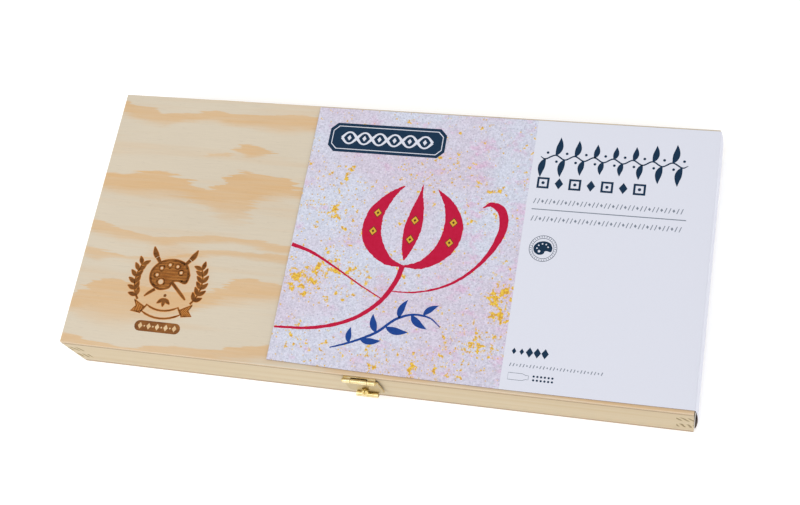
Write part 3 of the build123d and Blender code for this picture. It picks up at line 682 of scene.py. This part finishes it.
def tulip():
    """Broad-nib tulip in crimson: three petals, a stem with a long tail and a hairline flourish."""
    film = printed("tulip_print")
    film.stroke([(15, -17, 1.2), (4, -13, 6.5), (-6, -1, 11.5), (-7, 14, 10.5), (0, 27, 5.5),
                 (8, 35, 0.5)], rough=0.5)
    film.stroke([(16, -17, 1.2), (28, -14, 6.0), (39, -3, 11.0), (42, 11, 11.5), (37, 25, 6.0),
                 (29, 34, 0.5)], rough=0.5)
    film.stroke([(15.5, -13, 0.6), (16.2, -5, 6.5), (17.5, 7, 10.5), (18.5, 19, 7.8), (19, 30, 2.4),
                 (19.3, 37, 0.4)], rough=0.4)
    film.stroke([(15.5, -16, 3.4), (13, -27, 3.0), (5, -41, 2.6), (-10, -53, 2.3), (-31, -60, 1.9),
                 (-55.3, -62, 1.3)], rough=0.25)
    film.stroke([(-55.3, -9, 2.4), (-42, -13, 1.9), (-26, -21, 1.2), (-8, -31, 0.9), (7, -38.5, 0.7)],
                rough=0.2)
    film.stroke([(10, -33, 0.6), (27, -32, 1.0), (46, -25, 1.5), (62, -10, 2.3), (71, 9, 4.6), (70, 22, 5.4),
                 (63, 27, 3.2), (57.5, 24.5, 0.5)], rough=0.3)
    return film


def gold_lozenges():
    """Gold lozenges with dark middles, set down the tulip's petals."""
    spots = [(-6.5, 4), (-5.6, 16), (17, 0.5), (18, 13), (41, 0.5), (41.5, 13.5)]
    rims = printed("lozenge_rim_print", 1)
    fills = printed("lozenge_print", 2)
    hearts = printed("lozenge_heart_print", 3)
    for x, y in spots:
        for film, reach in ((rims, 3.3), (fills, 2.7), (hearts, 1.0)):
            lozenge(film, x, y, reach, 0.85)
    return rims, fills, hearts


def leaf_sprig():
    """Cobalt sprig that climbs beside the stem."""
    film = printed("sprig_print", 1)
    film.stroke([(-19, -71, 0.8), (-6, -66, 1.4), (7, -59, 1.6), (17, -50, 1.6), (27, -46, 1.4),
                 (37, -47, 1.0), (44, -52, 0.5)], rough=0.2)
    for x, y, heading, length, width, bend in (
            (-8, -67, 115, 9, 3.6, -0.4), (-2, -64, -18, 12, 4.0, 0.35), (7, -59, 128, 11, 4.2, -0.35),
            (12, -55, -30, 13, 4.4, 0.4), (19, -49, 100, 11, 4.0, -0.5), (26, -46, -62, 12, 4.2, 0.45),
            (33, -46, 62, 10, 3.6, -0.4)):
        leaf(film, x, y, heading, length, width, bend)
    return film


PLATE = (-46, 54.8, 28.5, 74.6)     # low x, low y, high x and high y of the plate without a name


def clipped(inset, corner):
    """The plate's outline drawn in by an inset, with its corners cut off."""
    low_x, low_y, high_x, high_y = PLATE
    low_x, low_y, high_x, high_y = low_x + inset, low_y + inset, high_x - inset, high_y - inset
    return [(low_x + corner, low_y), (high_x - corner, low_y),
            (high_x, low_y + corner), (high_x, high_y - corner),
            (high_x - corner, high_y), (low_x + corner, high_y),
            (low_x, high_y - corner), (low_x, low_y + corner)]


def name_plate():
    """Navy plate left without a name: clipped corners, a fine inset line and a plait of pen waves."""
    plate = printed("plate_print")
    plate.patch(clipped(0, 4.2))
    lines = printed("plate_line_print", 1)
    lines.strip(clipped(1.9, 3.4), clipped(2.4, 3.2), closed=True)
    low_x, low_y, high_x, high_y = PLATE
    x, y = (low_x + high_x) / 2, (low_y + high_y) / 2
    eyes, length = 6, 58
    for side in (-1, 1):
        wave = []
        for step in range(3 * eyes + 1):
            turn = math.pi * step / 3
            swing = side * 4.0 * math.sin(turn)
            wave.append((x - length / 2 + length * step / (3 * eyes), y + swing,
                         0.5 + 1.3 * abs(math.cos(turn))))
        lines.stroke(wave, steps=6)
    for index in range(eyes):
        lozenge(lines, x - length / 2 + length * (index + 0.5) / eyes, y, 1.9)
    return plate, lines


def pen_frieze():
    """Navy broad-nib frieze on the plain field: slanting leaves above and below a waving stem."""
    film = printed("frieze_print")
    start, pitch, leaves, y = 90.5, 5.7, 15, 60.8
    stem = []
    for index in range(leaves):
        x = start + pitch * index
        side = 1 if index % 2 else -1
        stem.append((x, y + 1.4 * side, 0.9))
        swell = math.cos(math.pi * index / (leaves - 1)) ** 2
        heading = 62 if side > 0 else 242
        leaf(film, x, y + side, heading, 8.0 + 4.0 * swell, 3.3 + 0.7 * swell, 0.35)
        film.patch(circle(x + 0.9, y - 2.8 * side, 0.85, sides=10))
    film.stroke([(start - 3.1, y, 0.4)] + stem + [(start + pitch * (leaves - 1) + 3.3, y, 0.4)], steps=6)
    return film


def tile_row():
    """Navy band of seven ornaments: framed squares and lozenges in turn."""
    film = printed("tile_row_print")
    start, pitch, y, reach, line = 91, 9.4, 43.7, 3.6, 1.3
    for index in range(7):
        x = start + pitch * index
        if index % 2:
            lozenge(film, x, y, reach)
            continue
        squares = []
        for half in (reach, reach - line):
            squares.append([(x - half, y - half), (x + half, y - half),
                            (x + half, y + half), (x - half, y + half)])
        film.strip(*squares, closed=True)
        film.patch(circle(x, y, 1.0))
    return film


def border(film, end, y, height, pitch):
    """Ornamental border: two slanting ticks and a small lozenge, over and over."""
    half = height / 2
    for index in range(int((end - PLAIN_LEFT) / pitch)):
        x = PLAIN_LEFT + pitch * (index + 0.5)
        if index % 3 == 2:
            lozenge(film, x, y, half * 0.7)
        else:
            film.stroke([(x - half * 0.35, y - half, 0.5), (x + half * 0.35, y + half, 0.5)], steps=1)


def fine_rules():
    """Thin grey rule between two borders, a small border lower down, and a tube in outline."""
    film = printed("rule_print")
    film.patch([(PLAIN_LEFT, 26.2), (175.5, 26.2), (175.5, 26.8), (PLAIN_LEFT, 26.8)])
    for end, y, height, pitch in ((174, 31.8, 3.3, 2.3), (176, 20.6, 3.3, 2.3), (141, -69.3, 1.9, 1.9)):
        border(film, end, y, height, pitch)
    tube = [(87, -78), (95, -78), (97, -77.2), (98.6, -77.2), (98.6, -74.8), (97, -74.8), (95, -74),
            (87, -74)]
    film.stroke([(x, y, 0.3) for x, y in tube], steps=1, closed=True)
    return film


def navy_marks():
    """Two small and three large lozenges low on the plain field, and twelve dots beside the tube."""
    film = printed("mark_print")
    for index in range(5):
        lozenge(film, 88.5 + 4.4 * index, -61.3, 1.9 if index < 2 else 3.0)
    for index in range(12):
        film.patch(circle(101.5 + 2.1 * (index % 6), -74.9 - 2.2 * (index // 6), 0.65, sides=12))
    return film


def small_seal():
    """Round seal on the plain field: a palette in a ring of ticks."""
    film = printed("seal_print")
    x, y, radius, line = 96.5, 2, 8.2, 0.3
    for wide in (radius, radius - 1.7):
        film.strip(circle(x, y, wide, 48), circle(x, y, wide - line, 48), closed=True)
    for ends in zip(circle(x, y, radius - 1.3, 32), circle(x, y, radius - 0.5, 32)):
        film.stroke([(*end, line) for end in ends], steps=1)
    palette(film, x, y, 5.2, 0.6, 0.5, 0.54)
    return film


def palette(film, x, y, reach, line, pitch, width):
    """Painter's palette, hatched, with a thumb hole and five dabs left open. Line is its rim's width."""
    rim = [(1.0, 0.1), (0.72, 0.62), (0.1, 0.82), (-0.6, 0.66), (-1.0, 0.15), (-0.9, -0.42), (-0.45, -0.72),
           (0.05, -0.62), (0.2, -0.3), (0.5, -0.22), (0.9, -0.3)]
    rim = [(x + reach * px, y + reach * py, line) for px, py in rim]
    edge = [(point[0], point[1]) for point in spline(rim + rim[:1], 6)[:-1]]
    dabs = [circle(x - reach * 0.4, y - reach * 0.36, reach * 0.19)]
    for px, py in ((0.55, 0.2), (0.3, 0.5), (-0.12, 0.55), (-0.52, 0.35), (-0.68, -0.02)):
        dabs.append(circle(x + reach * px, y + reach * py, reach * 0.13))
    hatch(film, [edge, *dabs], pitch, width, 8)
    film.stroke(rim, steps=6, closed=True)
    for dab in dabs:
        film.stroke([(px, py, line * 0.7) for px, py in dab], steps=1, closed=True)


# Emblem burned into the lid

BURN_DEPTH = 0.02
WREATH = 22                 # mm from the emblem's middle to the laurel stems


def burned_emblem(name, rise, spread):
    """Palette over crossed brushes between two laurel branches, and a blank ribbon, scorched by a hot die."""
    x, y = EMBLEM
    film = Film(name, LID_TOP - BURN_DEPTH, BURN_DEPTH + rise, spread)
    palette(film, x, y + 3.5, 12.5, 1.2, 0.95, 0.62)
    for side in (-1, 1):
        # the brush's handle, its ferrule and its hair; the palette's notch shows more of one handle
        hidden = 2.6 if side > 0 else 7.6
        film.stroke([(x + side * 13.6, y - 11.2, 0.5), (x + side * 11, y - 8.7, 1.5),
                     (x + side * hidden, y + 1.6 - hidden, 1.7)])
        film.stroke([(x - side * 8.5, y + 11.5, 1.6), (x - side * 11, y + 14.6, 2.2)], steps=2)
        film.stroke([(x - side * 11.2, y + 14.8, 2.6), (x - side * 13.0, y + 17.6, 3.0),
                     (x - side * 14.6, y + 21.6, 0.3)], steps=6)
        branch = []
        for step in range(6):
            turn = math.radians(-38 + 12.4 * step)
            branch.append((x + side * WREATH * math.cos(turn), y + WREATH * math.sin(turn),
                           0.9 - 0.06 * step))
        film.stroke(branch, steps=5)
        for step in range(6):
            angle = -31 + 11 * step
            turn = math.radians(angle)
            foot = (x + side * WREATH * math.cos(turn), y + WREATH * math.sin(turn))
            run = angle + 90
            for tilt in (-40, 40):
                heading = run + tilt if side > 0 else 180 - run - tilt
                leaf(film, *foot, heading, 6.0, 2.4, 0.1)
        fold = [(x + side * 12.0, y - 17.9), (x + side * 19.2, y - 14.0), (x + side * 17.0, y - 17.8),
                (x + side * 20.0, y - 21.0), (x + side * 13.6, y - 21.8)]
        hatch(film, [fold], 1.0, 0.45, 60 * side)
        film.stroke([(px, py, 0.6) for px, py in fold], steps=1, closed=True)
    for heading in (-140, -90, -40):
        leaf(film, x, y - 11.4, heading, 5.6, 2.2)
    film.patch(circle(x, y - 9.6, 1.0))
    ribbon = []
    for radius, degrees in ((24.4, range(-122, -57, 8)), (19.4, range(-58, -123, -8))):
        for turn in map(math.radians, degrees):
            ribbon.append((x + radius * math.cos(turn), y + radius * math.sin(turn), 0.75))
    film.stroke(ribbon, steps=1, closed=True)
    return film


BAR = (-144, -114, -70, 3.4)        # low x, high x, y and half height of the bar under the emblem


def burned_bar():
    """Scorched bar under the emblem, with rounded ends."""
    film = Film("bar_burn", LID_TOP - BURN_DEPTH, 2 * BURN_DEPTH)
    low_x, high_x, y, half = BAR
    ends = []
    for middle, start in ((high_x - half, -90), (low_x + half, 90)):
        for step in range(9):
            turn = math.radians(start + 22.5 * step)
            ends.append((middle + half * math.cos(turn), y + half * math.sin(turn)))
    film.patch(ends)
    return film


def bar_pattern():
    """Lozenges and dots of unburnt wood that the die left in the bar, 4 thousandths of a mm above it."""
    film = Film("bar_plain_wood", LID_TOP, BURN_DEPTH + 0.004)
    low_x, _, y, _ = BAR
    for index in range(9):
        x = low_x + 3.8 + 2.8 * index
        if index % 2:
            film.patch(circle(x, y, 0.55, sides=10))
        else:
            lozenge(film, x, y, 2.1)
    return film


# Finishes

BRASS_SHEET = ["latch_leaf", "hasp", "keeper_plate", "hinge_case_leaf_left", "hinge_case_leaf_right",
               "hinge_lid_leaf_left", "hinge_lid_leaf_right"]
BRASS_WIRE = ["latch_pin", "keeper_stud", "keeper_nails", "hinge_case_screws", "lid_screws", "hinge_pin_left",
              "hinge_pin_right"]


def dress(node, material):
    """Give a frame node its finish."""
    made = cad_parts[node]
    made.data.materials.clear()
    made.data.materials.append(material)
    made.data.polygons.foreach_set("use_smooth", [True] * len(made.data.polygons))


def finish_case():
    """Wood, brass and plastic of the case, the lid and the latch."""
    underside = BASE_LOW[2] / MM
    dress("lid_panel", pine_plywood("pine_plywood_lid", SEAM, LID_TOP, SEAM, 0))
    # the base's edges are painted darker all over, as painted shade along the bottom
    dress("base_panel", pine_plywood("pine_plywood_base", underside, BASE_TOP, underside, 0.45))
    for node, grain, pith in (("front_wall", 0, (0, -45, -22)), ("back_wall", 0, (0, 45, -22)),
                              ("left_wall", 1, (-226, 0, 4)), ("right_wall", 1, (150, 0, 2))):
        dress(node, solid_pine("pine_" + node, grain, pith))
    # each brass's third colour is painted shade for faces that look straight to the front or back
    sheet = polished_brass("brass_pressed_sheet", "f2e2b4", "b5a37a", 0.2)
    turned = polished_brass("brass_drawn_wire", "e3cf90", "d9c68c", 0.14)
    for node in BRASS_SHEET:
        dress(node, sheet)
    for node in BRASS_WIRE:
        dress(node, turned)
    dress("tray", moulded_tray("polystyrene_vacuum_formed"))


# Bands of the tubes from left to right: yellow to crimson, violet to green, then ochre, brown and black
PAINTS = ["f2cf2b", "ee8a22", "d8342c", "b5124a", "7d2a80", "2a3f9b", "2f86c6", "1f8f7a", "4f9b3a", "9a6a35",
          "6b3a2a", "2c2d33"]


def finish_tubes():
    """Lacquered tubes, each banded in its own colour, and their caps."""
    cap_material = moulded_cap("polypropylene_moulded")
    for index, paint in enumerate(PAINTS):
        number = f"{index + 1:02d}"
        low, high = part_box("tube_" + number)
        lacquer = lacquered_tube("lacquered_aluminium_" + number, paint, low[1] / MM, high[1] / MM)
        dress("tube_" + number, lacquer)
        dress("cap_" + number, cap_material)


def print_card():
    """Card wrap with everything printed on it."""
    card_sleeve(coated_card("coated_board"))
    crimson = printing_ink("crimson_ink", "b20834", "b9143e")
    cobalt = printing_ink("cobalt_ink", "0f3a82", "19438e")
    navy = printing_ink("navy_ink", "0a2943", "12314b")
    grey = printing_ink("grey_ink", "6f7784", "838a96")
    white = printing_ink("white_ink", "d6d8e3", "cdd0dc")
    gold = printing_ink("gold_ink", "c9952a", "d8ab3c")
    umber = printing_ink("umber_ink", "46271a", "583222")
    rims, fills, hearts = gold_lozenges()
    plate, lines = name_plate()
    for film, ink in ((tulip(), crimson), (rims, umber), (fills, gold), (hearts, umber),
                      (leaf_sprig(), cobalt), (plate, navy), (lines, white), (pen_frieze(), navy),
                      (tile_row(), navy), (fine_rules(), grey), (navy_marks(), navy), (small_seal(), navy)):
        film.piece(ink, "jacket")


def burn_lid():
    """Marks burned into the lid. A paler, wider rim lies under the emblem's lines."""
    rim = burned_emblem("emblem_toasted_rim", 0.5 * BURN_DEPTH, 0.75)
    lines = burned_emblem("emblem_burn", BURN_DEPTH, 0)
    for film, dark, light in ((rim, "b56d2c", "c68440"), (lines, "57300f", "855325"),
                              (burned_bar(), "6f4220", "94602f")):
        burn = scorched_pine("scorched_pine_of_" + film.name, dark, light)
        film.piece(burn, "lid")
    bar_pattern().piece(scorched_pine("unburnt_pine_in_bar", "caa678", "dbc09a"), "lid")


# Studio

KEY_PLACE = Vector((-0.9, -0.75, 1.3))      # metres from the middle of the case's underside
KEY_SIZE = 0.8                              # metres along each side
KEY_POWER = 6.0                             # watts
SWEEP_SIZE = 14                             # metres
# Light from all round: direction, where its change starts and ends, and how many times as bright it gets
GLOW_CHANGES = [((0.1, 0.7, 0.7), 0.5, 0.95, 0.42), ((1, 0, 0.2), 0.5, 1.0, 1.3)]


def soft_key():
    """Square soft box at the upper left of the front, turned to the case."""
    light = bpy.data.lights.new("key", "AREA")
    light.size = KEY_SIZE
    light.energy = KEY_POWER
    lamp = bpy.data.objects.new("key", light)
    lamp.location = KEY_PLACE
    lamp.rotation_euler = (-KEY_PLACE).to_track_quat("-Z", "Y").to_euler()
    bpy.context.collection.objects.link(lamp)


def studio():
    """White sweep, a soft key, and light from all round: strongest from the right, weakest from behind."""
    scene = bpy.context.scene
    bpy.ops.mesh.primitive_plane_add(size=SWEEP_SIZE, location=(0, 0, BASE_LOW[2] - 0.2 * MM))
    floor = bpy.context.object
    floor.name = "floor"
    floor.data.materials.append(studio_sweep("white_sweep"))
    soft_key()
    world = bpy.data.worlds.new("studio_light")
    world.use_nodes = True
    tree = world.node_tree
    way = add_node(tree, "TexCoord").node.outputs["Generated"]
    # brighter overhead than at the horizon
    glow = add_node(tree, "MapRange", add_node(tree, "SeparateXYZ", way).node.outputs[2], 0, 0.55, 0.8, 1.2)
    for direction, start, end, times in GLOW_CHANGES:
        share = add_node(tree, "VectorMath", way, direction, operation="DOT_PRODUCT").node.outputs["Value"]
        share = add_node(tree, "MapRange", share, start, end, 1, times, interpolation_type="SMOOTHSTEP")
        glow = add_node(tree, "Math", glow, share, operation="MULTIPLY")
    tree.links.new(glow, tree.nodes["Background"].inputs["Strength"])
    tree.nodes["Background"].inputs["Color"].default_value = (1, 1, 1, 1)
    scene.world = world
    scene.view_settings.view_transform = "Standard"


CAMERA_PLACE = Vector((0.1999, -0.2667, 0.7228))
CAMERA_FORWARD = Vector((-0.24859, 0.34272, -0.90595))
CAMERA_UP = Vector((-0.08585, 0.92383, 0.37304))
CAMERA_LENS = 57.22         # mm, for a sensor 36 mm wide


def camera():
    """A standing viewer's look down on the lid, from the right of its front edge."""
    data = bpy.data.cameras.new("camera")
    data.lens = CAMERA_LENS
    data.sensor_width = 36
    made = bpy.data.objects.new("camera", data)
    back = -CAMERA_FORWARD.normalized()
    side = CAMERA_UP.cross(back).normalized()
    up = back.cross(side)
    made.matrix_world = Matrix((side, up, back)).transposed().to_4x4()
    made.location = CAMERA_PLACE
    bpy.context.collection.objects.link(made)
    bpy.context.scene.camera = made


finish_case()
finish_tubes()
print_card()
burn_lid()
studio()
camera()
